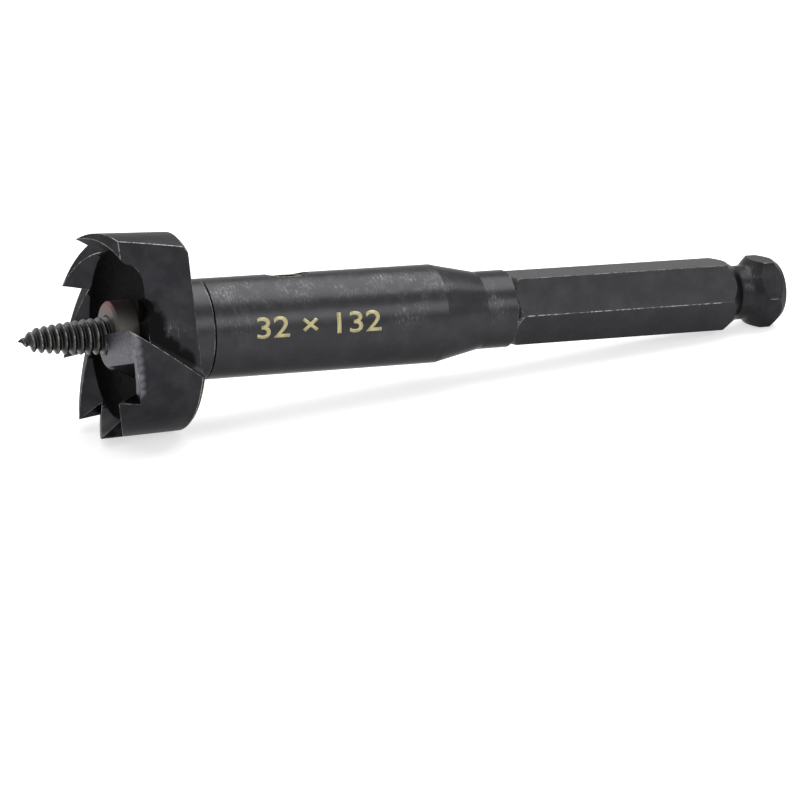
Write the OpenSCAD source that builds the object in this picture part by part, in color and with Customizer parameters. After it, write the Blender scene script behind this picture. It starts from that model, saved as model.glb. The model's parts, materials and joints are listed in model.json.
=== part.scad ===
// Self-feed wood boring bit of 32 mm: a toothed cup head on a hub with a hex shank, a feed screw in its
// nose and the set screw that holds it. Every piece is drawn upright on its own turning axis, with z as the
// distance back from the point of the feed screw, and then laid down as the bit comes to rest on a bench.

/* [Feed screw] */
// Diameter of the feed screw's plain shank
screw_d = 6.2; // [5:0.1:7]
// Whole length of the feed screw
screw_len = 57; // [50:0.5:64]
// How far its point stands ahead of the tooth tips
screw_reach = 11.8; // [9:0.1:14]
// Length of the thread, from the point
thread_len = 16.6; // [15:0.1:20]
// Distance from one thread crest to the next
thread_pitch = 1.26; // [1:0.02:1.8]
// Depth of the thread
thread_depth = 0.6; // [0.3:0.05:0.9]
// Half angle of the screw's point, in degrees
point_angle = 36; // [28:1:45]
// Length of the flat that the set screw bears on
flat_len = 16; // [10:0.5:18]
// Depth of that flat below the shank's surface
flat_depth = 0.6; // [0.3:0.05:1]
// Length of the full collar left behind the flat
collar_len = 2.5; // [1.5:0.1:5]
// Play between the feed screw and its bore, all round
screw_play = 0.05; // [0.02:0.01:0.15]

/* [Cutter head] */
// Cutting diameter over the tooth tips
head_d = 32; // [28:0.5:40]
// Length of the head from the tooth tips to its back face
head_len = 13.8; // [12:0.1:16]
// Thickness of the rim's wall
rim_wall = 2.85; // [2:0.05:4]
// Height of a tooth, from its tip to the gullet
tooth_h = 3.6; // [2.5:0.1:4.5]
// Number of teeth on the rim besides the cutting lip
tooth_count = 6; // [4:1:8]
// Undercut of a tooth's leading face, in degrees
tooth_rake = 9; // [0:1:15]
// Narrowing of the head towards the back, in degrees a side
back_taper = 1.66; // [0.5:0.02:3]
// Bevel on the head's back edge
back_bevel = 0.6; // [0.3:0.1:1.5]
// Width of the narrow land ahead of that bevel, which touches the bench when the bit lies down
back_land = 0.3; // [0.1:0.05:0.8]
// Depth of the cup's floor behind the tooth tips
cup_depth = 6.3; // [5.5:0.1:8]
// Rounding between the cup's wall and its floor
cup_round = 2; // [0.5:0.1:2.2]
// Diameter of the boss round the feed screw
boss_d = 10.8; // [9.5:0.1:12]
// How far the boss's face lies behind the tooth tips
boss_back = 2.6; // [2:0.1:4]
// How far the cutting lip lies behind the tooth tips
lip_back = 1.3; // [0.6:0.1:2]
// Clearance angle of the lip, in degrees
lip_clearance = 14; // [8:1:18]
// Width of the lip's clearance face
lip_land = 4.9; // [3.5:0.1:6]
// Slope of the chip ramp under the lip, in degrees from the axis
ramp_angle = 33.3; // [25:0.1:40]
// Sector of the rim that the chip gap takes out, in degrees
gap_angle = 61.6; // [50:0.2:72]
// Lean of the gap's flat wall along the ramp, in degrees
gap_lean = 11.2; // [6:0.2:14]
// Rounding where the gap's wall meets the ramp
gap_round = 2.4; // [1:0.1:3]
// Diameter of the round relief beside the boss
relief_d = 4; // [3:0.1:5]
// Turn of the cutting lip from the side that lies on the bench, in degrees
lip_turn = 254; // [240:1:268]

/* [Hub] */
// Diameter of the hub
hub_d = 16; // [14:0.1:20]
// Length of the head's own stub of hub, up to the joint with the shank
stub_len = 4; // [2:0.1:8]
// Length of the hub on the shank
hub_len = 39.5; // [36:0.5:60]
// Bevel on each side of the joint
joint_bevel = 0.15; // [0.05:0.05:0.4]
// Length of the cone from the hub down to the neck
cone_len = 7.7; // [5:0.1:12]

/* [Hex shank] */
// Diameter of the round neck
neck_d = 12.7; // [12:0.1:14]
// Length of the neck
neck_len = 5.6; // [3:0.1:12]
// Size of the hex across its flats
hex_af = 11.1; // [10.5:0.1:12]
// Length of the hex up to the locking groove
hex_len = 39; // [30:0.5:60]
// Bevel on the front ends of the hex's corners
hex_bevel = 1; // [0.6:0.1:1.5]
// Diameter at the bottom of the locking groove
groove_d = 9.1; // [8:0.1:9.6]
// Length of the groove's front flank
groove_front = 2.9; // [2:0.1:4]
// Length of the groove's bottom
groove_bottom = 2.3; // [1.5:0.1:4]
// Length of the groove's back flank
groove_back = 2; // [1.2:0.1:3]
// Rounding between the groove's flanks and its bottom
groove_round = 1.4; // [0.5:0.1:2]
// Length of the full hex behind the groove
knob_len = 1.7; // [1:0.1:4]
// Length of the cone at the very end
end_cone = 2; // [1:0.1:2.5]
// Diameter of the flat end face
end_d = 10; // [8.5:0.1:10.4]

/* [Set screw] */
// Thread diameter of the set screw
grub_d = 6; // [5:0.5:6]
// Distance of the set screw's axis behind the point of the feed screw
grub_z = 44.6; // [42:0.1:47]
// Turn of the set screw from the side that lies on the bench, in degrees
grub_turn = 172; // [160:1:200]
// How far the set screw's top lies under the hub's surface
grub_sunk = 0.4; // [0.2:0.1:1]
// Size of its hex socket across the flats
socket_af = 3; // [2.5:0.1:3]
// Depth of the hex socket
socket_depth = 2.4; // [1.5:0.1:3]
// Play between the set screw and its hole, all round
grub_play = 0.04; // [0.02:0.01:0.1]

/* [Hidden] */
$fn = 96;
STEEL = "#36373b";
SCREW_STEEL = "#3d3c40";

screw_r = screw_d / 2;
crest_r = screw_r - screw_play; // the thread's crests lie a hair under the plain shank
bore_r = screw_r + screw_play;
head_r = head_d / 2;
cup_r = head_r - rim_wall;
boss_r = boss_d / 2;
hub_r = hub_d / 2;
neck_r = neck_d / 2;
corner_r = hex_af / sqrt(3);
flat_r = hex_af / 2;
groove_r = groove_d / 2;
end_r = end_d / 2;
grub_r = grub_d / 2;

// Stations along the axis, counted back from the point of the feed screw
tips_z = screw_reach;
lip_z = tips_z + lip_back;
gullet_z = tips_z + tooth_h;
knife_z = gullet_z + tooth_h / 10; // the rim's inner bevel runs a little past the gullets
boss_z = tips_z + boss_back;
floor_z = tips_z + cup_depth;
back_z = tips_z + head_len;
joint_z = back_z + stub_len;
cone_z = joint_z + hub_len;
neck_z = cone_z + cone_len;
hex_z = neck_z + neck_len;
groove_z = hex_z + hex_len;
bottom_z = groove_z + groove_front;
knob_z = bottom_z + groove_bottom + groove_back;
end_cone_z = knob_z + knob_len;
end_z = end_cone_z + end_cone;
bore_end_z = screw_len + screw_play;
flat_end_z = screw_len - collar_len;

// At rest the bit lies on the narrow land at the back of its head and on the last flat of its hex
rest_z = back_z - back_bevel - back_land;
end_slope = (corner_r - end_r) / end_cone;
knob_rest_z = end_cone_z + (corner_r - flat_r) / end_slope;
rest_tilt = atan((rim_r(rest_z) - flat_r) / (knob_rest_z - rest_z));
lying_len = end_z * cos(rest_tilt) + end_r * sin(rest_tilt);
lying_h = rest_z * sin(rest_tilt) + rim_r(rest_z) * cos(rest_tilt);

tooth_pitch = (360 - gap_angle) / (tooth_count + 1);
past = 2; // how far a cut runs beyond what it cuts

// Radius of the head's outside, which narrows towards the back
function rim_r(z) = head_r - (z - tips_z) * tan(back_taper);

// Points of an arc round a centre, as radius and station
function arc(centre, r, from, to, steps = 6) =
    [for (i = [0:steps]) centre + r * [cos(from + (to - from) * i / steps), sin(from + (to - from) * i / steps)]];

// Lays an upright piece down as the bit rests, with its long axis along x
module at_rest() {
    translate([-lying_len / 2, 0, lying_h]) rotate([0, 90 + rest_tilt, 0]) children();
}

// Turned outline of the head: sharp rim, cup, boss, back face and stub of hub
module head_outline() {
    edge = 0.4; // bevel on the boss
    ahead_z = tips_z - edge / 4; // the turned rim stands a little ahead of the tips that the gullets leave
    land_r = rim_r(rest_z) - back_land * tan(rest_tilt); // the land lies flat on the bench
    polygon(concat(
        [[0, joint_z], [0, boss_z], [boss_r - edge, boss_z], [boss_r, boss_z + edge], [boss_r, floor_z]],
        arc([cup_r - cup_round, floor_z - cup_round], cup_round, 90, 0, steps = 5),
        [[cup_r, knife_z], [rim_r(ahead_z), ahead_z], [rim_r(rest_z), rest_z]],
        [[land_r, rest_z + back_land], [land_r - back_bevel, back_z]],
        [[hub_r, back_z], [hub_r, joint_z - joint_bevel], [hub_r - joint_bevel, joint_z]]
    ));
}

// Wedge that cuts one gullet ahead of a tooth: the tooth's raked face, and the land behind the tooth before it
module gullet(land_start_z) {
    reach = head_r * sin(tooth_pitch);
    under = tooth_h * tan(tooth_rake);
    front_z = tips_z - past;
    land = (reach + under) / (gullet_z - land_start_z);
    rotate([90, 0, 90]) linear_extrude(head_r + past) polygon([
        [under, gullet_z],
        [under - (gullet_z - front_z) * tan(tooth_rake), front_z],
        [under - (gullet_z - front_z) * land, front_z]
    ]);
}

// Wedge behind the last tooth: its land falls away along the gap's flat wall, nearly to the gullets' depth
module last_land() {
    tip_x = head_r * cos(tooth_count * tooth_pitch);
    wall_x = rim_r(gullet_z) * cos(gap_angle);
    slope = 0.9 * tooth_h / (wall_x - tip_x);
    rise = 2 * past;
    far_x = wall_x + past;
    translate([0, -boss_r, 0]) rotate([90, 0, 0]) linear_extrude(head_r) polygon([
        [tip_x - rise / slope, tips_z - rise],
        [far_x, tips_z - rise],
        [far_x, tips_z + (far_x - tip_x) * slope]
    ]);
}

// The gullets all round the rim: the first follows the lower cutting lip, the last land ends at the chip gap
module gullets() {
    difference() {
        union() {
            for (i = [1:tooth_count]) rotate([0, 0, i * tooth_pitch]) gullet(i == 1 ? lip_z : tips_z);
            last_land();
        }
        cylinder(r = (boss_r + cup_r) / 2, h = floor_z);
    }
}

// Cutting lip across the cup: its edge, the clearance face behind it, and the ramp that lifts the chips.
// The chip gap trims the ramp's outer part, so the lip starts a little ahead of that cut and steeper.
module lip() {
    foot_z = floor_z + cup_round;
    land_z = lip_z + lip_land * tan(lip_clearance);
    heel = 3; // run of the steep face from the clearance face down to the floor
    ahead = 0.1; // how far the lip's edge stands ahead of the gap's cut
    steeper = 4; // how much steeper the ramp is inside the cup, in degrees
    inside = rim_wall / 4; // how far the lip ends inside the rim, which carries the edge on to the outside
    intersection() {
        rotate([90, 0, 90]) linear_extrude(head_r) polygon([
            [-ahead, lip_z - ahead * tan(lip_clearance)],
            [lip_land, land_z],
            [lip_land + heel, foot_z],
            [(foot_z - lip_z) * tan(ramp_angle - steeper) - ahead, foot_z]
        ]);
        cylinder(r = head_r - inside, h = back_z);
    }
}

// Chip gap ahead of the lip: a milled corner between the flat wall and the ramp, rounded where they meet
module chip_gap() {
    wall = [rim_r(gullet_z) * cos(gap_angle), -rim_r(gullet_z) * sin(gap_angle), gullet_z];
    corner_x = wall[0] - tan(gap_lean) * (wall[1] * sin(ramp_angle) + (wall[2] - lip_z) * cos(ramp_angle));
    size = head_d;
    translate([corner_x, 0, lip_z]) rotate([-ramp_angle, 0, 0]) rotate([0, gap_lean, 0])
        translate([0, 0, -size]) linear_extrude(2 * size) {
            translate([gap_round, -size]) square(size);
            translate([0, -size]) square([size, size - gap_round]);
            translate([gap_round, -gap_round]) circle(gap_round);
        }
}

// Round relief that the end of the milling cutter leaves in the cup's floor beside the boss
module relief() {
    beside = 0.2; // wall left between the relief and the boss
    translate([boss_r + beside, -relief_d * 0.8, floor_z - relief_d / 5]) rotate([0, 90, 0])
        cylinder(d = relief_d, h = head_r);
}

module cutter_head() {
    color(STEEL) at_rest() rotate([0, 0, lip_turn]) difference() {
        union() {
            difference() {
                rotate_extrude() head_outline();
                gullets();
            }
            lip();
        }
        chip_gap();
        relief();
        cylinder(r = bore_r, h = joint_z + past);
    }
}

// Turned outline of the hub, its cone and the neck
module hub_outline() {
    step = 0.4; // bevel where the neck ends
    polygon([
        [0, joint_z], [hub_r - joint_bevel, joint_z], [hub_r, joint_z + joint_bevel], [hub_r, cone_z],
        [neck_r, neck_z], [neck_r, hex_z - step], [neck_r - step, hex_z], [groove_r, hex_z],
        [groove_r, hex_z + past], [0, hex_z + past]
    ]);
}

// Turned outline that bevels the hex and holds its locking groove, the knob behind it and the end
module drive_outline() {
    front = atan((corner_r - groove_r) / groove_front);
    back = atan((corner_r - groove_r) / groove_back);
    front_c = [groove_r + groove_round, bottom_z + groove_round * tan(front / 2)];
    back_c = [groove_r + groove_round, bottom_z + groove_bottom - groove_round * tan(back / 2)];
    polygon(concat(
        [[0, hex_z], [flat_r, hex_z], [corner_r, hex_z + hex_bevel], [corner_r, groove_z]],
        arc(front_c, groove_round, 180 + front, 180),
        arc(back_c, groove_round, 180, 180 - back),
        [[corner_r, knob_z], [corner_r, end_cone_z], [end_r, end_z], [0, end_z]]
    ));
}

module shank() {
    countersink = 0.3;
    color(STEEL) at_rest() difference() {
        union() {
            rotate_extrude() hub_outline();
            intersection() {
                rotate([0, 0, 30]) linear_extrude(end_z) circle(r = corner_r, $fn = 6);
                rotate_extrude() drive_outline();
            }
        }
        translate([0, 0, joint_z - past]) cylinder(r = bore_r, h = bore_end_z - joint_z + past);
        at_grub() cylinder(r = grub_r, h = hub_r + past);
        at_grub() translate([0, 0, hub_r - 2 * countersink])
            cylinder(r1 = grub_r, r2 = grub_r + 2 * countersink + past, h = 2 * countersink + past);
    }
}

// Carries a piece drawn along z out from the axis to where the set screw stands
module at_grub() {
    translate([0, 0, grub_z]) rotate([0, 0, grub_turn]) rotate([0, 90, 0]) children();
}

// Envelope of the thread: a short cone at the point, then a curve that swells to the full shank
function thread_r(z) = min(z * tan(point_angle), crest_r * pow(min(1, z / (thread_len - thread_pitch)), 0.28));

// How far the thread is cut away, from 0 on its crest to 1 at its root
function thread_cut(turns) = let (part = turns - floor(turns)) min(1, 2.6 * min(part, 1 - part));

// Threaded end: rings of points round the axis whose radius follows the helix, closed at the point and the back
module thread() {
    sides = 24;
    rings = ceil(thread_len / thread_pitch) * 8;
    step = thread_len / rings;
    points = concat(
        [[0, 0, 0]],
        [for (i = [1:rings]) for (j = [0:sides - 1])
            let (z = i * step, r = thread_r(z), fade = min(1, (thread_len - z) / thread_pitch))
            let (cut = min(thread_depth, 0.4 * r) * fade * thread_cut(z / thread_pitch - j / sides))
            let (a = 360 * j / sides)
            [(r - cut) * cos(a), (r - cut) * sin(a), z]],
        [[0, 0, thread_len]]
    );
    function at(i, j) = 1 + (i - 1) * sides + j % sides;
    last = len(points) - 1;
    faces = concat(
        [for (j = [0:sides - 1]) [0, at(1, j), at(1, j + 1)]],
        [for (i = [1:rings - 1]) for (j = [0:sides - 1]) [at(i, j), at(i + 1, j), at(i + 1, j + 1)]],
        [for (i = [1:rings - 1]) for (j = [0:sides - 1]) [at(i, j), at(i + 1, j + 1), at(i, j + 1)]],
        [for (j = [0:sides - 1]) [last, at(rings, j + 1), at(rings, j)]]
    );
    polyhedron(points, faces);
}

module feed_screw() {
    lap = 0.4; // how far the plain shank reaches over the end of the thread
    edge = 0.5; // bevel on the back end
    color(SCREW_STEEL) at_rest() difference() {
        union() {
            thread();
            translate([0, 0, thread_len - lap]) cylinder(r = screw_r, h = screw_len - edge - thread_len + lap);
            translate([0, 0, screw_len - edge]) cylinder(r1 = screw_r, r2 = screw_r - edge, h = edge);
        }
        rotate([0, 0, grub_turn]) translate([screw_r - flat_depth, -screw_r, flat_end_z - flat_len])
            cube([screw_r, screw_d, flat_len]);
    }
}

module set_screw() {
    top = hub_r - grub_sunk;
    foot = screw_r - flat_depth;
    edge = 0.6; // bevel on both ends
    r = grub_r - grub_play;
    color(STEEL) at_rest() at_grub() difference() {
        rotate_extrude() polygon([
            [0, foot], [r - edge, foot], [r, foot + edge], [r, top - edge], [r - edge, top], [0, top]
        ]);
        translate([0, 0, top - socket_depth]) cylinder(d = socket_af * 2 / sqrt(3), h = socket_depth + past, $fn = 6);
    }
}

cutter_head();
shank();
feed_screw();
set_screw();
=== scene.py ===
# %% [markdown]
# # A self-feed boring bit, dressed in Blender
# The bit's solids come ready made and at their real size. This lesson gives them what the solids leave out:
# the soft, worn edges of hardened steel, a rolled thread, a size mark, and the black oxide finish.

# %% Load the solids
import json
import math

import bmesh
import bpy
from mathutils import Matrix, Quaternion, Vector


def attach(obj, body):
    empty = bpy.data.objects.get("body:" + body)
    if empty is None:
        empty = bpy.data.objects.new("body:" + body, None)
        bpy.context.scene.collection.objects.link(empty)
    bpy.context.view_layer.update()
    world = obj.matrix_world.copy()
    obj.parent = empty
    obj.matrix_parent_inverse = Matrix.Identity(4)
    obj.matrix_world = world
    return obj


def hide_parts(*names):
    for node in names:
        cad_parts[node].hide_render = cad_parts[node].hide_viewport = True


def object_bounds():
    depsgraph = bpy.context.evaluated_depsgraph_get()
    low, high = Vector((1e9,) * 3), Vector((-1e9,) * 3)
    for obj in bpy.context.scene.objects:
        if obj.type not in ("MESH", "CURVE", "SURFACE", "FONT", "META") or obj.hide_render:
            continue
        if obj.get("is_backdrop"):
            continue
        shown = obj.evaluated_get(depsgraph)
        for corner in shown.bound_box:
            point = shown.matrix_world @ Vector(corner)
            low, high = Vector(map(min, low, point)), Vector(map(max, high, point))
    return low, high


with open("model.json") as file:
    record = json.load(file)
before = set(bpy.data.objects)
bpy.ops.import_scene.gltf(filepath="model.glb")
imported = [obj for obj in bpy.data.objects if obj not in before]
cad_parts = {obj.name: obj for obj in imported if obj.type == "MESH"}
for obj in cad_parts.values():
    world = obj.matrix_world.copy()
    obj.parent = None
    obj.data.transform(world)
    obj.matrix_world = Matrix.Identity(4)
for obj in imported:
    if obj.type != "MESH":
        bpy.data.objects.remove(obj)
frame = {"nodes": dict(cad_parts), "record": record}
cad_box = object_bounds()
print("solids:", sorted(frame["nodes"]))

# %% [markdown]
# ## One axis for everything
# Every piece of the bit was turned or milled about one line, so we find that line once. The record says where
# the drive end's face is and which way it looks, and the solids' box says where the screw's point is. Pieces
# can then be modelled standing up, with z as the distance back from the point, and laid down by one matrix.

# %% The bit's own axis
MM = 0.001


def mm(*sizes):
    """Millimetres as metres, one number or a tuple."""
    scaled = tuple(size * MM for size in sizes)
    return scaled[0] if len(scaled) == 1 else scaled


drive = next(mount for mount in frame["record"]["mounts"] if mount["name"] == "hex_drive")
bit_axis = Vector(drive["axis"]).normalized()
bit_end = Vector(drive["pos_m"])
bit_length = (bit_end.x - cad_box[0].x) / bit_axis.x
bit_tip = bit_end - bit_axis * bit_length
rest_tilt = math.asin(-bit_axis.z)
lie_down = Matrix.Translation(bit_tip) @ Matrix.Rotation(math.pi / 2 + rest_tilt, 4, "Y")
stand_up = lie_down.inverted()


def on_bit(radius, turn, back):
    """A place on the lying bit: mm off its axis, degrees from the bench side, and mm back from the point."""
    angle = math.radians(turn)
    return lie_down @ Vector(mm(radius * math.cos(angle), radius * math.sin(angle), back))


print(f"the bit is {bit_length / MM:.1f} mm long and lies {math.degrees(rest_tilt):.2f} degrees nose up")

# %% [markdown]
# ## Camera
# The photograph was taken from a little above, with the nose nearer than the shank, through a long lens. A
# long lens keeps the hub's sides almost parallel. The camera is aimed at a point under the middle of the bit
# and rolled a little, because the bit runs slightly uphill in the picture.

# %% Set up the camera
VIEW_AZIMUTH = math.radians(-21.79)
VIEW_ELEVATION = math.radians(16.64)
VIEW_ROLL = math.radians(-3.555)
VIEW_DISTANCE = mm(524.2)
VIEW_LENS = 144.96
SENSOR_WIDTH = 36
aim = Vector(mm(-3.2, 0.5, -2.4))

towards_camera = Vector((
    math.sin(VIEW_AZIMUTH) * math.cos(VIEW_ELEVATION),
    -math.cos(VIEW_AZIMUTH) * math.cos(VIEW_ELEVATION),
    math.sin(VIEW_ELEVATION),
))
camera = bpy.data.objects.new("camera", bpy.data.cameras.new("camera"))
camera.data.sensor_width = SENSOR_WIDTH
camera.data.lens = VIEW_LENS
camera.data.clip_start = mm(10)
camera.location = aim + towards_camera * VIEW_DISTANCE
camera.rotation_mode = "QUATERNION"
camera.rotation_quaternion = (-towards_camera).to_track_quat("-Z", "Y") @ Quaternion((0, 0, 1), VIEW_ROLL)
bpy.context.scene.collection.objects.link(camera)
bpy.context.scene.camera = camera
print("camera at", [round(c / MM) for c in camera.location], "mm")

# %% [markdown]
# ## Small helpers for materials
# Colours are written as sRGB hex, the way a colour picker shows them, and turned to the linear values that
# the renderer works in. One function adds a node: a socket given to it is linked, and anything else is set on
# the input. Nearly every finish on this bit is two tones mixed by noise, so that mix is a function too.

# %% Colour and node helpers


def linear(hex_colour):
    """An sRGB hex colour as linear red, green, blue and alpha."""
    shares = [int(hex_colour[i:i + 2], 16) / 255 for i in (1, 3, 5)]
    return tuple(c / 12.92 if c <= 0.04045 else ((c + 0.055) / 1.055) ** 2.4 for c in shares) + (1.0,)


def add(tree, kind, inputs=None, **settings):
    """Adds a node, with its settings and its inputs set or linked."""
    node = tree.nodes.new(kind)
    for name, value in settings.items():
        setattr(node, name, value)
    for name, value in (inputs or {}).items():
        if isinstance(value, bpy.types.NodeSocket):
            tree.links.new(value, node.inputs[name])
        else:
            node.inputs[name].default_value = value
    return node


def new_material(name, metallic, roughness):
    """A material with no pattern yet, and its nodes, its shader and the object's own coordinates."""
    material = bpy.data.materials.new(name)
    material.use_nodes = True
    tree = material.node_tree
    tree.nodes.clear()
    shader = add(tree, "ShaderNodeBsdfPrincipled", {"Metallic": metallic, "Roughness": roughness})
    add(tree, "ShaderNodeOutputMaterial", {"Surface": shader.outputs["BSDF"]})
    place = add(tree, "ShaderNodeTexCoord").outputs["Object"]
    return material, tree, shader, place


def mottled(tree, place, grain, limits, tones, detail=4.0, roughness=0.7):
    """Two tones mixed by noise of that grain: the first where the noise is under the first limit, the second
    where it is over the second. Returns the noise, the second tone's share and the colour."""
    noise = add(tree, "ShaderNodeTexNoise", {
        "Vector": place, "Scale": 1 / grain, "Detail": detail, "Roughness": roughness}).outputs["Fac"]
    share = add(tree, "ShaderNodeMapRange", {
        "Value": noise, "From Min": limits[0], "From Max": limits[1]}).outputs[0]
    colour = add(tree, "ShaderNodeMix", {
        "Factor": share, "A": linear(tones[0]), "B": linear(tones[1])}, data_type="RGBA")
    return noise, share, colour.outputs["Result"]


print("a mid grey in linear light:", [round(c, 4) for c in linear("#808080")])

# %% [markdown]
# Wear, rust and scale sit only in some places. A mask of soft round spots says where: each spot measures the
# distance from a place on the bit, and the brightest spot wins.

# %% A mask of spots
SPOT_CORE = 0.3  # share of a spot's radius that is fully covered


def spots(tree, place, centres, radius):
    """A mask that is 1 near any of some places on the object and fades out at a radius."""
    mask = None
    for centre in centres:
        far = add(tree, "ShaderNodeVectorMath", {0: place, 1: centre}, operation="DISTANCE")
        near = add(tree, "ShaderNodeMapRange", {
            "Value": far.outputs["Value"], "From Min": radius, "From Max": radius * SPOT_CORE},
            interpolation_type="SMOOTHSTEP").outputs[0]
        if mask is None:
            mask = near
        else:
            mask = add(tree, "ShaderNodeMath", {0: mask, 1: near}, operation="MAXIMUM").outputs[0]
    return mask


print(f"spots cover fully out to {SPOT_CORE:.0%} of their radius")

# %% [markdown]
# ## Black oxide steel
# The hub, the head and the hex are hardened steel, dipped in a hot salt bath that turns the skin to black
# iron oxide. It still reflects like metal, only darker and duller. Handling leaves faint blotches a few
# millimetres wide, and in some places a scuff of fine pale specks. On the hub the specks lie along its two
# highlight bands, so there they are painted glints as well as scuffs. The lathe leaves a grain that runs
# round
# the bit, so the bump is stretched: fine along the bit and long across it. A painted picture could show all
# of this, but noise with its grain in millimetres needs no file and covers every side alike.

# %% Black oxide
BLOTCH_SIZE = mm(3.5)
GRAIN_SIZE = mm(0.24)  # real lathe marks are finer than this, and too fine to show in the render
GRAIN_STRETCH = 0.3
GRAIN_DEPTH = mm(0.02)
PALE_SPECK = "#787672"
GRAZING_TINT = "#d4d4d4"  # oxide reflects a little less than bare steel at a flat angle


def oxide_steel(name, tones, rough, grain, scuffs_and_glints, speck_radius):
    """Black oxide on steel: two tones in soft blotches, a turned grain, and pale specks of scuffs and painted
    glints.
    """
    material, tree, shader, place = new_material(name, metallic=1.0, roughness=rough)
    noise, blotch, tone = mottled(tree, place, BLOTCH_SIZE, (0.42, 0.68), tones, detail=5.0, roughness=0.6)

    stretched = add(tree, "ShaderNodeMapping", {
        "Vector": place, "Scale": (1.0, GRAIN_STRETCH, GRAIN_STRETCH)}, vector_type="POINT")
    turned = add(tree, "ShaderNodeTexNoise", {
        "Vector": stretched.outputs["Vector"], "Scale": 1 / GRAIN_SIZE, "Detail": 3.0, "Roughness": 0.7})
    bump = add(tree, "ShaderNodeBump", {
        "Height": turned.outputs["Fac"], "Strength": grain, "Distance": GRAIN_DEPTH})
    tree.links.new(bump.outputs["Normal"], shader.inputs["Normal"])

    speckle = add(tree, "ShaderNodeMapRange", {
        "Value": turned.outputs["Fac"], "From Min": 0.5, "From Max": 0.8}).outputs[0]
    where = spots(tree, place, scuffs_and_glints, speck_radius)
    torn = add(tree, "ShaderNodeMath", {0: where, 1: blotch}, operation="MULTIPLY").outputs[0]
    specked = add(tree, "ShaderNodeMath", {0: torn, 1: speckle}, operation="MULTIPLY").outputs[0]
    colour = add(tree, "ShaderNodeMix", {
        "Factor": specked, "A": tone, "B": linear(PALE_SPECK)}, data_type="RGBA")
    tree.links.new(colour.outputs["Result"], shader.inputs["Base Color"])

    duller = add(tree, "ShaderNodeMapRange", {
        "Value": noise, "From Min": 0.3, "From Max": 0.7, "To Min": rough - 0.02, "To Max": rough + 0.03})
    tree.links.new(duller.outputs[0], shader.inputs["Roughness"])
    shader.inputs["Specular Tint"].default_value = linear(GRAZING_TINT)
    return material


# Pale specks along the hub's top and side highlight bands: scuffs, and painted glints where the bands fall.
top_band_scuffs_and_glints = [on_bit(8, 211, back) for back in range(32, 69, 4)]
side_band_scuffs_and_glints = [on_bit(8, 252, 33), on_bit(8, 245, 62), on_bit(6.4, 245, 79)]
groove_scuff = on_bit(5, 225, 125)
head_scuffs = [on_bit(10.2, 257, 21.7), on_bit(14.8, 341, 14.8)]
shank_oxide = oxide_steel(
    "black_oxide_shank", ("#343436", "#3a3a3c"), 0.28, 0.35, top_band_scuffs_and_glints + side_band_scuffs_and_glints + [groove_scuff], mm(5))
head_oxide = oxide_steel("black_oxide_head", ("#28272a", "#333235"), 0.4, 0.2, head_scuffs, mm(2.6))
# A darker oxide for the back of the locking groove and the knob: painted shade.
end_oxide = oxide_steel("black_oxide_end", ("#28282a", "#323234"), 0.34, 0.3, [groove_scuff], mm(4))
print("made", shank_oxide.name, head_oxide.name, "and", end_oxide.name)

# %% [markdown]
# ## Worn edges
# Where two faces meet, the oxide rubs off first and bare steel shows as a thin bright line. Noise breaks the
# line up, because the wear is never even. The amount of oxide that is kept sets how much of the line is left.
# A mask could look for the edges, but a narrow bevel will lie on each of them, so the bevel's own faces can
# take this finish as a material.

# %% Bare steel on the edges
WEAR_SIZE = mm(1.2)


def worn_edge(name, oxide, steel, kept):
    """Bare steel that shows through the oxide along an edge, broken up; kept is the share of oxide."""
    material, tree, shader, place = new_material(name, metallic=1.0, roughness=0.45)
    limits = (kept - 0.06, kept + 0.1)
    _, _, tone = mottled(tree, place, WEAR_SIZE, limits, (oxide, steel), roughness=0.8)
    tree.links.new(tone, shader.inputs["Base Color"])
    return material


head_edge = worn_edge("worn_edge_head", "#48484b", "#94938f", 0.46)
hex_edge = worn_edge("worn_edge_hex", "#404044", "#9f9d98", 0.5)
# also laid on the hex's front step, as painted light over the groove's shade
faint_edge_and_step_light = worn_edge("rubbed_edge_and_step_light", "#3a3a3d", "#757472", 0.51)
print("made", head_edge.name, hex_edge.name, "and", faint_edge_and_step_light.name)

# %% [markdown]
# ## Soft edges on the solids
# A solid from the CAD model has knife-sharp edges everywhere, and sharp edges catch no light. A copy of its
# mesh is merged, its flat triangles are joined into whole faces, and every outer edge gets a narrow bevel. A
# Bevel modifier would round the edges too, but the operator also says which faces it made, and those take the
# worn steel. Slivers that the bevel leaves are dissolved, and so are points that lie on a straight edge.

# %% A bevelled mesh of a solid
BEVEL_WIDTH = mm(0.08)
MERGE_GAP = mm(0.0005)
SLIVER = mm(0.002)
EDGE_ANGLE = math.radians(24)
FLAT_ANGLE = math.radians(0.5)
STRAIGHT_ANGLE = math.radians(1)
BEVEL_TAG = 1  # kept in the material index, which lasts while slivers are dissolved


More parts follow.
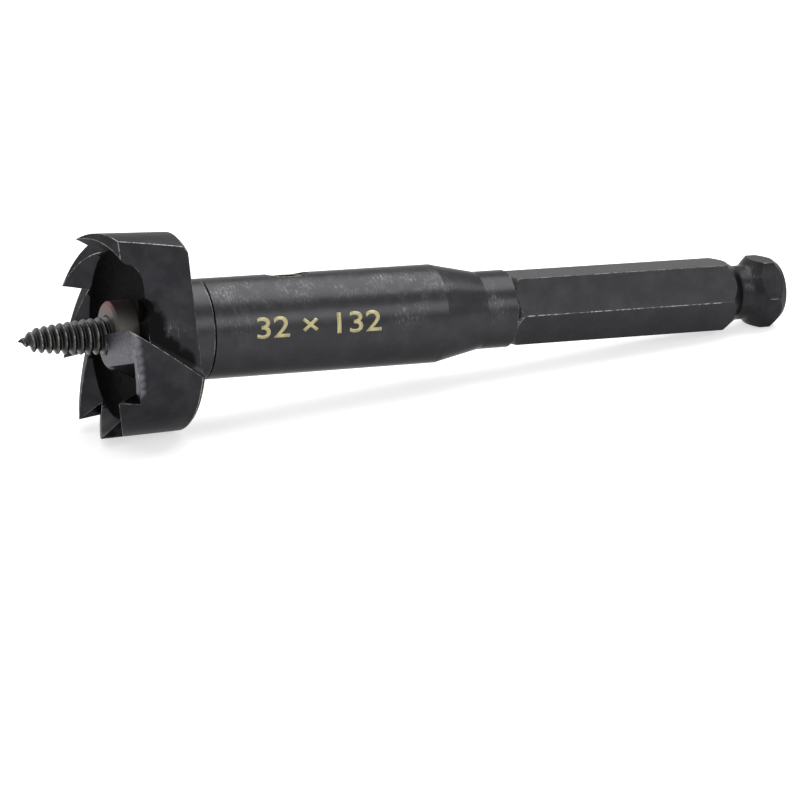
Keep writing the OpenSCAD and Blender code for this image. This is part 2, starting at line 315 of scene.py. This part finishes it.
def bevelled_copy(node, shortest):
    """A solid's mesh, with every outer edge longer than shortest bevelled, and the bevel's own faces."""
    bm = bmesh.new()
    bm.from_mesh(frame["nodes"][node].data)
    bmesh.ops.remove_doubles(bm, verts=bm.verts, dist=MERGE_GAP)
    bmesh.ops.dissolve_limit(bm, angle_limit=FLAT_ANGLE, verts=bm.verts, edges=bm.edges)
    outer = [e for e in bm.edges if e.is_manifold and e.calc_face_angle_signed() > EDGE_ANGLE
             and e.calc_length() > shortest]
    made = bmesh.ops.bevel(
        bm, geom=outer, offset=BEVEL_WIDTH, offset_type="OFFSET", affect="EDGES", segments=2, profile=0.5,
        material=-1, clamp_overlap=False)
    for face in made["faces"]:
        face.material_index = BEVEL_TAG
    bmesh.ops.dissolve_degenerate(bm, dist=SLIVER, edges=bm.edges)
    straight = [v for v in bm.verts if len(v.link_edges) == 2 and v.calc_edge_angle() < STRAIGHT_ANGLE]
    bmesh.ops.dissolve_verts(bm, verts=straight)
    print(f"{node}: {len(outer)} edges bevelled")
    return bm, {face for face in bm.faces if face.material_index == BEVEL_TAG}


# %% [markdown]
# The bevelled mesh becomes a piece of the bit, in place of its solid. Inner corners stay sharp, and their
# edges are marked, so that no shading leaks round them. A function given by the caller picks the material of
# each face, from its middle and its direction on the standing bit and from whether it lies on a bevel.

# %% A soft-edged piece


def soft_edged(node, name, shortest, crease, materials, material_of):
    """A bevelled copy in place of a solid; an edge that turns more than crease, in degrees, stays crisp."""
    bm, bevelled = bevelled_copy(node, shortest)
    for edge in bm.edges:
        bend = edge.calc_face_angle_signed() if edge.is_manifold else 0
        on_bevel = bend > 0 and any(face in bevelled for face in edge.link_faces)
        edge.smooth = on_bevel or abs(bend) < math.radians(crease)
    turn_only = stand_up.to_3x3()
    for face in bm.faces:
        face.smooth = True
        centre = stand_up @ face.calc_center_median() / MM
        finish = material_of(centre, turn_only @ face.normal, face in bevelled)
        face.material_index = materials.index(finish)
    piece = bpy.data.objects.new(name, bpy.data.meshes.new(name))
    bm.to_mesh(piece.data)
    bm.free()
    for material in materials:
        piece.data.materials.append(material)
    bpy.context.scene.collection.objects.link(piece)
    piece.modifiers.new("weighted normals", "WEIGHTED_NORMAL").keep_sharp = True
    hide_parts(node)
    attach(piece, "root")
    print(f"{name}: {len(piece.data.polygons)} faces")
    return piece


# %% [markdown]
# ## Cutter head
# The head is a forging, and its making left three finishes beside the oxide. The cup keeps the scale of the
# forge, a crumbly black crust that swallows light. The same near-black is laid in the round relief beside
# the boss as painted shade. The boss is oiled steel with a blush of rust where the screw was changed. The
# lip is ground after the bath, so its steel is paler, in small uneven patches. One material with masks could
# hold all three, but whole faces part them, so each is a material of its own.

# %% Forge scale, also painted shade in the relief, oiled boss and ground lip
RUST_RADIUS = mm(2.2)

scale_and_pocket_shade, tree, shader, place = new_material("scale_and_pocket_shade", metallic=0.0, roughness=0.85)
crumbs, _, crust_and_shade_tone = mottled(
    tree, place, mm(1.1), (0.35, 0.7), ("#100f0f", "#1f1c1d"), detail=6.0, roughness=0.75)
tree.links.new(crust_and_shade_tone, shader.inputs["Base Color"])
crust = add(tree, "ShaderNodeBump", {"Height": crumbs, "Strength": 0.9, "Distance": mm(0.3)})
tree.links.new(crust.outputs["Normal"], shader.inputs["Normal"])
shader.inputs["Specular IOR Level"].default_value = 0.05

oiled_boss, tree, shader, place = new_material("oiled_boss_steel", metallic=0.8, roughness=0.5)
_, _, film = mottled(tree, place, mm(1.2), (0.0, 1.0), ("#434240", "#524f4b"), roughness=0.6)
rust = spots(tree, place, [on_bit(5, 160, 14.4), on_bit(5, 190, 14.4)], RUST_RADIUS)
rusty = add(tree, "ShaderNodeMix", {"Factor": rust, "A": film, "B": linear("#5a3434")}, data_type="RGBA")
tree.links.new(rusty.outputs["Result"], shader.inputs["Base Color"])

ground_lip, tree, shader, place = new_material("ground_steel", metallic=1.0, roughness=0.5)
_, _, patches = mottled(tree, place, mm(0.5), (0.35, 0.72), ("#34343a", "#5f5f67"))
tree.links.new(patches, shader.inputs["Base Color"])
print("made", scale_and_pocket_shade.name, oiled_boss.name, "and", ground_lip.name)

# %% [markdown]
# Two more marks are painted on the head's oxide. The first is painted shade: a near-black patch on the milled
# wall beside the boss and in the corner of the chip gap, where shade falls. Noise added to the spots gives it
# a ragged border.

# %% Painted shade on the milled wall
SHADE_PATCH_RADIUS = mm(3.2)
painted_shade_spots = [on_bit(8, 219, 18.4), on_bit(8.2, 231, 19.3), on_bit(9.7, 247, 19), on_bit(9.8, 260, 19),
          on_bit(10.8, 270, 20.8), on_bit(12.4, 278, 22.8)]

tree = head_oxide.node_tree
shader = next(node for node in tree.nodes if node.type == "BSDF_PRINCIPLED")
place = next(node for node in tree.nodes if node.type == "TEX_COORD").outputs["Object"]
ragged = add(tree, "ShaderNodeTexNoise", {
    "Vector": place, "Scale": 1 / mm(1.1), "Detail": 6.0, "Roughness": 0.7}).outputs["Fac"]
reach = add(tree, "ShaderNodeMath", {
    0: spots(tree, place, painted_shade_spots, SHADE_PATCH_RADIUS), 1: ragged}, operation="ADD").outputs[0]
shade_share = add(tree, "ShaderNodeMapRange", {"Value": reach, "From Min": 0.8, "From Max": 1.3}).outputs[0]
oxide_tone = shader.inputs["Base Color"].links[0].from_socket
# the near-black mixed in here is painted shade
shaded_tone = add(tree, "ShaderNodeMix", {
    "Factor": shade_share, "A": oxide_tone, "B": linear("#121112")}, data_type="RGBA").outputs["Result"]
tree.links.new(shaded_tone, shader.inputs["Base Color"])
# counts the spots of painted shade
print("scale clings in", len(painted_shade_spots), "places")

# %% [markdown]
# Chips rub the rim just behind the lip. A row of spots follows the edge there, which falls back a little with
# each degree, and two more spots sit on the nearest tooth.

# %% A rubbed rim
RUB_RADIUS = mm(1.4)
RUB_START, RUB_BACK, RUB_FALL = 257, 13.6, 0.036
rubs = [on_bit(15.9, turn, RUB_BACK + (turn - RUB_START) * RUB_FALL) for turn in range(256, 292, 5)]
rubs += [on_bit(14.3, 341, 14.5), on_bit(15.3, 341, 15.2)]

grit = add(tree, "ShaderNodeTexNoise", {
    "Vector": place, "Scale": 1 / mm(0.9), "Detail": 5.0, "Roughness": 0.7}).outputs["Fac"]
bright = add(tree, "ShaderNodeMapRange", {"Value": grit, "From Min": 0.15, "From Max": 0.9}).outputs[0]
rubbed = add(tree, "ShaderNodeMath", {
    0: spots(tree, place, rubs, RUB_RADIUS), 1: bright}, operation="MULTIPLY").outputs[0]
worn = add(tree, "ShaderNodeMix", {"Factor": rubbed, "A": shaded_tone, "B": linear("#7b7a80")}, data_type="RGBA")
tree.links.new(worn.outputs["Result"], shader.inputs["Base Color"])
print(len(rubs), "places on the rim are rubbed bright")

# %% [markdown]
# Each face of the head now gets its finish by where it lies: on the lip, on the boss, inside the cup or the
# round relief beside the boss, on the turned stub of hub, or anywhere else. The relief takes the cup's black
# as painted shade of its deep pocket. Of the bevels, those round the chip gap and on the near back edge are
# worn the most. Sizes are in millimetres, and angles are counted from the lip.

# %% The head itself
LIP_TURN = math.radians(254)
LIP_FRONT, LIP_BACK = 12.6, 14.7
LIP_INNER, LIP_EDGE, LIP_WIDTH = 4.5, -0.8, 5.6
BOSS_RADIUS, BOSS_BACK = 5.5, 17.9
CUP_RADIUS, CUP_FRONT, CUP_FLOOR = 13.35, 13.8, 18.3
RELIEF_BESIDE, RELIEF_BACK, RELIEF_REACH = -3.2, 17.3, 2.2
STUB_RADIUS, STUB_FRONT = 8.2, 25.9
FACES_NOSE, LEANS_TO_NOSE = -0.8, -0.5
NO_END = math.inf
WORN_ZONES = (  # each from and to: radius, distance back from the point, degrees from the lip
    ((14.8, NO_END), (0, NO_END), (-68, 30)),  # the rim round the chip gap
    ((13, NO_END), (0, 17), (-66, -55)),  # the front of the gap's flat wall
    ((12.8, 14.6), (0, NO_END), (-115, -55)),  # the cup's inner edge beside the gap
    ((14.4, NO_END), (23.3, NO_END), (-68, 100)),  # the near back edge
)


def most_worn(*place):
    """Whether a bevel lies in a worn zone, from its radius, distance back and degrees from the lip."""
    return any(all(low < value < high for value, (low, high) in zip(place, zone)) for zone in WORN_ZONES)


def head_finish(centre, normal, bevelled):
    """Material of a face of the head."""
    out, back = math.hypot(centre.x, centre.y), centre.z
    along = centre.x * math.cos(LIP_TURN) + centre.y * math.sin(LIP_TURN)
    beside = centre.y * math.cos(LIP_TURN) - centre.x * math.sin(LIP_TURN)
    on_lip = along > LIP_INNER and LIP_EDGE < beside < LIP_WIDTH and LIP_FRONT < back < LIP_BACK
    if on_lip and normal.z < FACES_NOSE:
        return ground_lip
    if out < BOSS_RADIUS and back < BOSS_BACK:
        return oiled_boss
    off_relief = max(abs(beside - RELIEF_BESIDE), abs(back - RELIEF_BACK))
    in_relief = along > BOSS_RADIUS and off_relief < RELIEF_REACH
    looks_in = normal.x * centre.x + normal.y * centre.y < 0 or normal.z < LEANS_TO_NOSE
    in_cup = out < CUP_RADIUS and CUP_FRONT < back < CUP_FLOOR and looks_in
    # in the relief the near-black is painted shade of its pocket; in the cup it is the forge's scale
    if in_relief or in_cup:
        return scale_and_pocket_shade
    if not bevelled:
        return shank_oxide if out < STUB_RADIUS and back > STUB_FRONT else head_oxide
    return head_edge if most_worn(out, back, math.degrees(math.atan2(beside, along))) else faint_edge_and_step_light


head = soft_edged(
    "cutter_head", "cutting_head", shortest=mm(0.2), crease=24, material_of=head_finish,
    materials=[head_oxide, head_edge, scale_and_pocket_shade, ground_lip, faint_edge_and_step_light, oiled_boss, shank_oxide])

# %% [markdown]
# ## Hub and hex
# The hub, its cone, the neck and the hex are one turned and milled bar. One corner of the hex has rubbed
# against the chuck more than the others, so its bevel and the sloping step in front of it take the brighter
# worn steel. The rest of that step is a narrow groove, and it takes the faint worn steel as painted light, so
# that its shade doesn't show as a dark line. The back of the locking groove and the knob behind it take a
# darker oxide, as painted shade. The solid already has the whole shape, so it needs no more than its soft
# edges and its finish.

# %% The hub and the hex
HEX_FRONT, STEP_LENGTH, GROOVE_FRONT = 82, 1.4, 123
WORN_CORNER = math.radians(-90)
CORNER_REACH, STEP_REACH = math.radians(12), math.radians(20)
LEAST_SLOPE, MOST_SLOPE = 0.3, 0.95  # how far a sloping face looks along the bit


def hub_finish(centre, normal, bevelled):
    """Material of a face of the shank."""
    off_corner = abs(math.remainder(math.atan2(centre.y, centre.x) - WORN_CORNER, math.tau))
    sloping = LEAST_SLOPE < abs(normal.z) < MOST_SLOPE
    if sloping and HEX_FRONT < centre.z < HEX_FRONT + STEP_LENGTH:
        # round the rest of the step, the faint worn steel is painted light over the groove's shade
        return hex_edge if off_corner < STEP_REACH else faint_edge_and_step_light
    if not bevelled:
        # from the groove's front back, the darker oxide is painted shade
        return end_oxide if centre.z > GROOVE_FRONT else shank_oxide
    return hex_edge if centre.z > HEX_FRONT and off_corner < CORNER_REACH else faint_edge_and_step_light


hub = soft_edged(
    "shank", "hub_and_hex", shortest=mm(1), crease=9, material_of=hub_finish,
    materials=[shank_oxide, hex_edge, faint_edge_and_step_light, end_oxide])

# %% [markdown]
# ## Set screw
# The set screw sits a little below the hub's surface. Dust and dried oil have gathered in its socket, so it
# is browner and duller than the hub.

# %% The set screw
oily_grime, tree, shader, place = new_material("oily_set_screw", metallic=0.7, roughness=0.6)
_, _, grime_tone = mottled(tree, place, mm(0.6), (0.4, 0.65), ("#232021", "#4a3f38"))
tree.links.new(grime_tone, shader.inputs["Base Color"])


def grub_finish(centre, normal, bevelled):
    """Material of a face of the set screw."""
    return faint_edge_and_step_light if bevelled else oily_grime


grub = soft_edged(
    "set_screw", "grub_screw", shortest=mm(0.2), crease=24, material_of=grub_finish,
    materials=[oily_grime, faint_edge_and_step_light])

# %% [markdown]
# ## Feed screw
# The thread on the point pulls the bit into the wood. One turn of the thread is a short outline, and a spin
# that also climbs by one pitch each turn sweeps it into a long even thread. A Screw modifier would do the
# same, but here the points are needed afterwards, to taper the thread. The outline is drawn on a plain bar,
# where its radius only says how deep a point lies between crest and root. Two cuts square off the ends.

# %% A thread by a climbing spin
PITCH = 1.26
THREAD_START, THREAD_END = 0.02, 16.3
SPIN_STEPS, TURNS = 40, 16
DRAWN_CREST, CREST_BAND = 2, 0.02
ONE_PITCH = [(0.0, 0.0), (0.08, 0.01), (0.2, 0.22), (0.32, 0.64), (0.42, 0.95), (0.5, 1.0),
             (0.58, 0.95), (0.68, 0.64), (0.8, 0.22), (0.92, 0.01), (1.0, 0.0)]

thread = bmesh.new()
outline = [thread.verts.new(mm(DRAWN_CREST - cut, 0, (share - 1) * PITCH)) for share, cut in ONE_PITCH]
strokes = [thread.edges.new(pair) for pair in zip(outline, outline[1:])]
bmesh.ops.spin(
    thread, geom=outline + strokes, cent=(0, 0, 0), axis=(0, 0, 1), dvec=(0, 0, mm(PITCH) / SPIN_STEPS),
    angle=math.tau * TURNS, steps=SPIN_STEPS * TURNS)
bmesh.ops.remove_doubles(thread, verts=thread.verts, dist=SLIVER)
for height, facing in ((THREAD_START, -1), (THREAD_END, 1)):
    bmesh.ops.bisect_plane(
        thread, geom=thread.verts[:] + thread.edges[:] + thread.faces[:], plane_co=mm(0, 0, height),
        plane_no=(0, 0, facing), clear_outer=True)
for face in thread.faces:
    on_crest = all(math.hypot(v.co.x, v.co.y) > mm(DRAWN_CREST - CREST_BAND) for v in face.verts)
    face.material_index = 1 if on_crest else 0  # the crests take the screw's second material
    face.smooth = True
print(f"thread: {len(thread.faces)} faces in {THREAD_END / PITCH:.1f} turns")

# %% [markdown]
# Now every point of the thread moves to its real radius, which swells from the sharp point to the full shank.
# The thread is shallower near the point, and it fades out over its last turn.

# %% The screw's real taper
CREST_RADIUS = 3.05
POINT_ANGLE = math.radians(36)
SWELL = 0.28  # power of the taper: a smaller one thickens the screw sooner
THREAD_DEPTH, POINT_DEPTH = 0.6, 0.4  # in mm at most, and as a share of the radius near the point


def thread_radius(back):
    """Radius over the crests at a distance back from the point, all in millimetres."""
    return min(back * math.tan(POINT_ANGLE), CREST_RADIUS * min(1, back / (THREAD_END - PITCH)) ** SWELL)


for vert in thread.verts:
    drawn, back = math.hypot(vert.co.x, vert.co.y), vert.co.z / MM
    crest = thread_radius(back)
    fade = min(1, (THREAD_END - back) / PITCH)
    real = crest - min(THREAD_DEPTH, POINT_DEPTH * crest) * fade * (DRAWN_CREST - drawn / MM)
    vert.co.x *= mm(real) / drawn
    vert.co.y *= mm(real) / drawn
bmesh.ops.holes_fill(thread, edges=[e for e in thread.edges if e.is_boundary], sides=0)
bmesh.ops.recalc_face_normals(thread, faces=thread.faces)
bmesh.ops.transform(thread, matrix=lie_down, verts=thread.verts)
print(f"the thread is {2 * thread_radius(THREAD_END):.1f} mm thick at its end")

# %% [markdown]
# Behind the thread the screw is a plain shank inside the head, with a flat and a collar. The solid already
# has that shape, so this length is cut from a copy of it, closed, and added to the thread's mesh.

# %% The plain shank behind the thread
bare_shank = bmesh.new()
bare_shank.from_mesh(frame["nodes"]["feed_screw"].data)
bmesh.ops.remove_doubles(bare_shank, verts=bare_shank.verts, dist=MERGE_GAP)
bmesh.ops.bisect_plane(
    bare_shank, geom=bare_shank.verts[:] + bare_shank.edges[:] + bare_shank.faces[:],
    plane_co=on_bit(0, 0, THREAD_END), plane_no=bit_axis, clear_inner=True)
bmesh.ops.dissolve_limit(bare_shank, angle_limit=FLAT_ANGLE, verts=bare_shank.verts, edges=bare_shank.edges)
bmesh.ops.holes_fill(bare_shank, edges=[e for e in bare_shank.edges if e.is_boundary], sides=0)
bmesh.ops.recalc_face_normals(bare_shank, faces=bare_shank.faces)
print(f"plain shank: {len(bare_shank.faces)} faces")
shank_mesh = bpy.data.meshes.new("bare_shank")
bare_shank.to_mesh(shank_mesh)
bare_shank.free()
thread.from_mesh(shank_mesh)
bpy.data.meshes.remove(shank_mesh)

# %% [markdown]
# The thread was rolled, which leaves it smooth, and oil has browned it. Wood polishes the crests, so they
# take the broken bright steel of a worn edge.

# %% Thread steel and the finished screw
rolled, tree, shader, place = new_material("rolled_thread_steel", metallic=1.0, roughness=0.4)
_, _, oil_tone = mottled(tree, place, mm(1.5), (0.4, 0.65), ("#303033", "#3e3b38"))
tree.links.new(oil_tone, shader.inputs["Base Color"])
crest_steel = worn_edge("worn_thread_crest", "#434245", "#7d7c79", 0.5)

screw = bpy.data.objects.new("threaded_point", bpy.data.meshes.new("threaded_point"))
thread.to_mesh(screw.data)
thread.free()
for material in (rolled, crest_steel):
    screw.data.materials.append(material)
bpy.context.scene.collection.objects.link(screw)
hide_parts("feed_screw")
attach(screw, "root")
print(f"threaded_point: {len(screw.data.polygons)} faces")

# %% [markdown]
# ## Size mark
# A laser burns the bit's diameter and length into the hub as pale straw-coloured numbers. A picture could
# carry them, but modelled numbers stay sharp from near and are part of the mesh. Blender's text is
# flat, so it is made a mesh first and sliced into narrow strips. Each strip is then short enough to follow
# the round hub. Tiny loops that the text's outline leaves are merged away.

# %% Flat numbers in strips
MARK_TEXT = "32 × 132"
TEXT_SIZE, STROKE_GAIN, MARK_LENGTH = 4.7, 0.05, 21.0
STRIP = 0.3
DOUBLES, LOOPS = 0.001, 0.02  # points nearer than this are merged, before and after the slicing

letters = bpy.data.curves.new("size_mark", "FONT")
letters.body = MARK_TEXT
letters.size = mm(TEXT_SIZE)
letters.offset = mm(STROKE_GAIN)
flat_text = bpy.data.objects.new("flat_text", letters)
bpy.context.scene.collection.objects.link(flat_text)
bpy.context.view_layer.update()
numbers = bpy.data.meshes.new_from_object(flat_text)
bpy.data.objects.remove(flat_text)

mark = bmesh.new()
mark.from_mesh(numbers)
bmesh.ops.remove_doubles(mark, verts=mark.verts, dist=mm(DOUBLES))
left = min(v.co.x for v in mark.verts)
right = max(v.co.x for v in mark.verts)
bmesh.ops.translate(mark, vec=(-left, 0, 0), verts=mark.verts)
bmesh.ops.scale(mark, vec=(mm(MARK_LENGTH) / (right - left), 1, 1), verts=mark.verts)
top = max(v.co.y for v in mark.verts)
for cut in range(1, int(top / mm(STRIP)) + 1):
    bmesh.ops.bisect_plane(
        mark, geom=mark.verts[:] + mark.edges[:] + mark.faces[:], plane_co=(0, cut * mm(STRIP), 0),
        plane_no=(0, 1, 0))
bmesh.ops.remove_doubles(mark, verts=mark.verts, dist=mm(LOOPS))
print(f"flat numbers: {len(mark.faces)} faces, {MARK_LENGTH} mm long and {top / MM:.1f} mm high")

# %% [markdown]
# The flat numbers get a hair of thickness and are wrapped round the hub, so that they stand just proud of the
# oxide. The laser's heat leaves a straw colour with small flecks.

# %% Numbers wrapped on the hub
HUB_RADIUS = 8
MARK_START, MARK_TURN = 36.4, 271
MARK_RISE = 0.02

raised = bmesh.ops.extrude_face_region(mark, geom=mark.faces[:])
fronts = [part for part in raised["geom"] if isinstance(part, bmesh.types.BMVert)]
bmesh.ops.translate(mark, vec=(0, 0, mm(2 * MARK_RISE)), verts=fronts)
for vert in mark.verts:
    along, up, out = vert.co / MM
    turn = MARK_TURN - math.degrees(up / HUB_RADIUS)
    vert.co = on_bit(HUB_RADIUS - MARK_RISE + out, turn, MARK_START + along)
bmesh.ops.recalc_face_normals(mark, faces=mark.faces)
mark.to_mesh(numbers)
mark.free()

straw, tree, shader, place = new_material("laser_straw_mark", metallic=0.5, roughness=0.55)
_, _, flecks = mottled(tree, place, mm(0.5), (0.0, 1.0), ("#a39a6c", "#c9c097"), detail=3.0)
tree.links.new(flecks, shader.inputs["Base Color"])
numbers.materials.clear()
numbers.materials.append(straw)
size_mark = bpy.data.objects.new("size_mark", numbers)
bpy.context.scene.collection.objects.link(size_mark)
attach(size_mark, "root")
print(f"size_mark: {len(numbers.polygons)} faces")

# %% [markdown]
# ## Floor and light
# The photograph has a plain white ground. The floor is white paper that glows a little for the camera and for
# reflections only, so it looks white without lighting the bit, and it keeps the bit's shadow. More light
# would whiten it too, but would also bleach the bit.

# %% Floor
FLOOR_REACH = 1.4
FLOOR_GLOW = 0.62


def seen_share(tree):
    """1 for rays that come from the camera, a reflection or glass, and 0 for light that only spreads."""
    path = add(tree, "ShaderNodeLightPath").outputs
    direct = add(tree, "ShaderNodeMath", {
        0: path["Is Camera Ray"], 1: path["Is Glossy Ray"]}, operation="ADD").outputs[0]
    return add(tree, "ShaderNodeMath", {
        0: direct, 1: path["Is Transmission Ray"]}, operation="ADD", use_clamp=True).outputs[0]


floor_mesh = bmesh.new()
bmesh.ops.create_grid(floor_mesh, x_segments=1, y_segments=1, size=FLOOR_REACH)
floor = bpy.data.objects.new("floor", bpy.data.meshes.new("floor"))
floor_mesh.to_mesh(floor.data)
floor_mesh.free()
bpy.context.scene.collection.objects.link(floor)
floor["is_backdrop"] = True
paper, tree, shader, _ = new_material("white_paper", metallic=0.0, roughness=0.9)
shader.inputs["Base Color"].default_value = linear("#f2f2f2")
shader.inputs["Specular IOR Level"].default_value = 0.0
shader.inputs["Emission Color"].default_value = linear("#ffffff")
glow = add(tree, "ShaderNodeMapRange", {"Value": seen_share(tree), "To Max": FLOOR_GLOW})
tree.links.new(glow.outputs[0], shader.inputs["Emission Strength"])
floor.data.materials.append(paper)
print("floor", [round(side, 1) for side in floor.dimensions])

# %% [markdown]
# The light is a studio's: one broad soft box overhead, which draws the pale band along the top of the hub, a
# weaker card in front, which draws the second band below it, one behind for the far side, and an even white
# room for everything else. Dark metal shows little but its surroundings, so the bands are placed by mirror:
# the first two lamps stand where the camera's line of sight bounces off the hub.

# %% Lamps and world
ROOM_FILL = 0.35


def soft_lamp(name, place, width, depth, radiance):
    """A rectangular lamp of that size and brightness, turned to the bit; sizes and places are in metres."""
    lamp = bpy.data.lights.new(name, "AREA")
    lamp.shape = "RECTANGLE"
    lamp.size = width
    lamp.size_y = depth
    lamp.energy = radiance * math.pi * width * depth
    holder = bpy.data.objects.new(name, lamp)
    holder.location = place
    holder.rotation_mode = "QUATERNION"
    holder.rotation_quaternion = (-Vector(place)).to_track_quat("-Z", "Y")
    bpy.context.scene.collection.objects.link(holder)


soft_lamp("overhead_softbox", (0.2, 0.15, 0.55), width=0.8, depth=0.4, radiance=3.4)
soft_lamp("front_card", (0.28, -0.67, 0.34), width=0.6, depth=0.26, radiance=2.5)
soft_lamp("rear_card", (-0.4, 0.64, 0.34), width=0.5, depth=0.26, radiance=2.2)

world = bpy.data.worlds.new("studio")
world.use_nodes = True
room = world.node_tree.nodes["Background"]
room.inputs["Color"].default_value = linear("#ffffff")
even = add(world.node_tree, "ShaderNodeMapRange", {
    "Value": seen_share(world.node_tree), "To Min": ROOM_FILL, "To Max": 1.0})
world.node_tree.links.new(even.outputs[0], room.inputs["Strength"])
bpy.context.scene.world = world
bpy.context.scene.view_settings.view_transform = "Standard"

# %% [markdown]
# ## Check the size and finish
# The dressed bit must keep the size of its solids, so both boxes are printed.

# %% Print both boxes
boxes = {"cad": cad_box, "visual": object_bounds()}
for name, box in boxes.items():
    print(name, "box in mm:", [[round(c / MM, 2) for c in corner] for corner in box])
